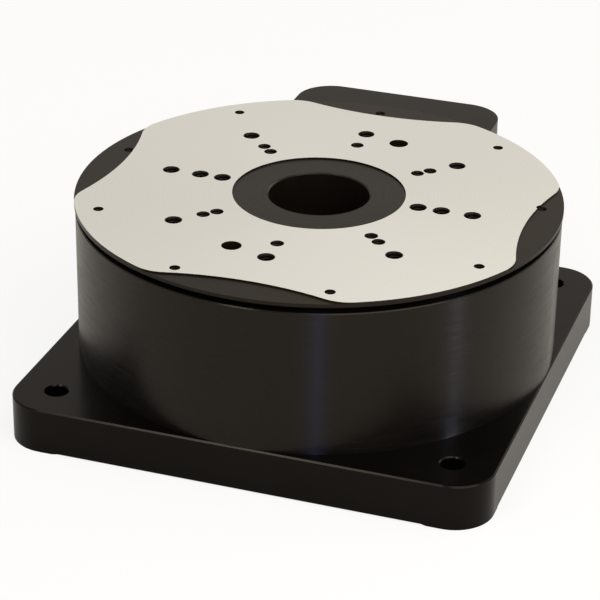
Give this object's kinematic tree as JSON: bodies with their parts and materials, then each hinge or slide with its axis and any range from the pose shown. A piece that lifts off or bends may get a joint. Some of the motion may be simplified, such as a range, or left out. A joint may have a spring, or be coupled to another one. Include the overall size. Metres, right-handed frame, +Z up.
{
  "type": "rotary stage",
  "caption": "Low direct-drive rotary stage: square base plate, round drum, flat turning table with a raised land, tapped holes and a through bore, and a rear connector box.",
  "frame": {"origin": "on the rotation axis at the underside of the four feet", "axes": "+Z up the rotation axis out of the table, +Y to the rear towards the connector box, +X to the right along the front edge of the base"},
  "size_m": [0.154, 0.1816, 0.0653],
  "materials": {
    "black_anodised": "satin black anodised aluminium",
    "table_anodised": "black anodised aluminium with a lapped bare land",
    "aluminium": "turned aluminium",
    "screw_steel": "black oxide steel",
    "bearing_steel": "ground bearing steel",
    "spacer_plastic": "nylon",
    "lamination_steel": "laminated electrical steel",
    "copper_winding": "enamelled copper wire",
    "magnet_plating": "nickel plated magnets",
    "grating_steel": "steel ring with a fine grating",
    "readhead_case": "painted die casting",
    "plated_shell": "tin plated steel",
    "plug_plastic": "moulded polyester"
  },
  "bodies": {
    "base": {"base_plate": "black_anodised", "bottom_cover": "black_anodised", "cover_screws": "screw_steel", "drum_housing": "black_anodised", "drum_screws": "screw_steel", "bearing_carrier": "aluminium", "carrier_screws": "screw_steel", "bearing_outer_ring_lower": "bearing_steel", "bearing_outer_ring_upper": "bearing_steel", "bearing_retainer": "aluminium", "retainer_screws": "screw_steel", "stator_core": "lamination_steel", "stator_coils": "copper_winding", "readhead": "readhead_case", "readhead_bracket": "aluminium", "readhead_screws": "screw_steel", "bracket_screws": "screw_steel", "connector_box": "black_anodised", "box_screws": "screw_steel", "connector_panel": "black_anodised", "panel_screws": "screw_steel", "motor_plug_shell": "plated_shell", "motor_plug_insert": "plug_plastic", "feedback_plug_shell": "plated_shell", "feedback_plug_insert": "plug_plastic", "connector_jackscrews": "plated_shell"},
    "rotor": {"rotary_table": "table_anodised", "rotor_hub": "black_anodised", "table_screws": "screw_steel", "rotor_yoke": "lamination_steel", "yoke_screws": "screw_steel", "rotor_magnets": "magnet_plating", "bearing_inner_ring": "bearing_steel", "bearing_locknut": "bearing_steel", "locknut_setscrews": "screw_steel", "encoder_ring": "grating_steel", "encoder_screws": "screw_steel"},
    "roller_set": {"bearing_rollers": "bearing_steel", "bearing_spacers": "spacer_plastic"}
  },
  "joints": [
    {"name": "table_spin", "type": "hinge", "parent": "base", "child": "rotor", "pos_m": [0, 0, 0.0375], "axis": [0, 0, 1], "continuous": true},
    {"name": "cage_orbit", "type": "hinge", "parent": "base", "child": "roller_set", "pos_m": [0, 0, 0.0375], "axis": [0, 0, 1], "continuous": true}
  ],
  "couplings": [
    {"joint": "cage_orbit", "follows": "table_spin", "ratio": 0.47238}
  ]
}
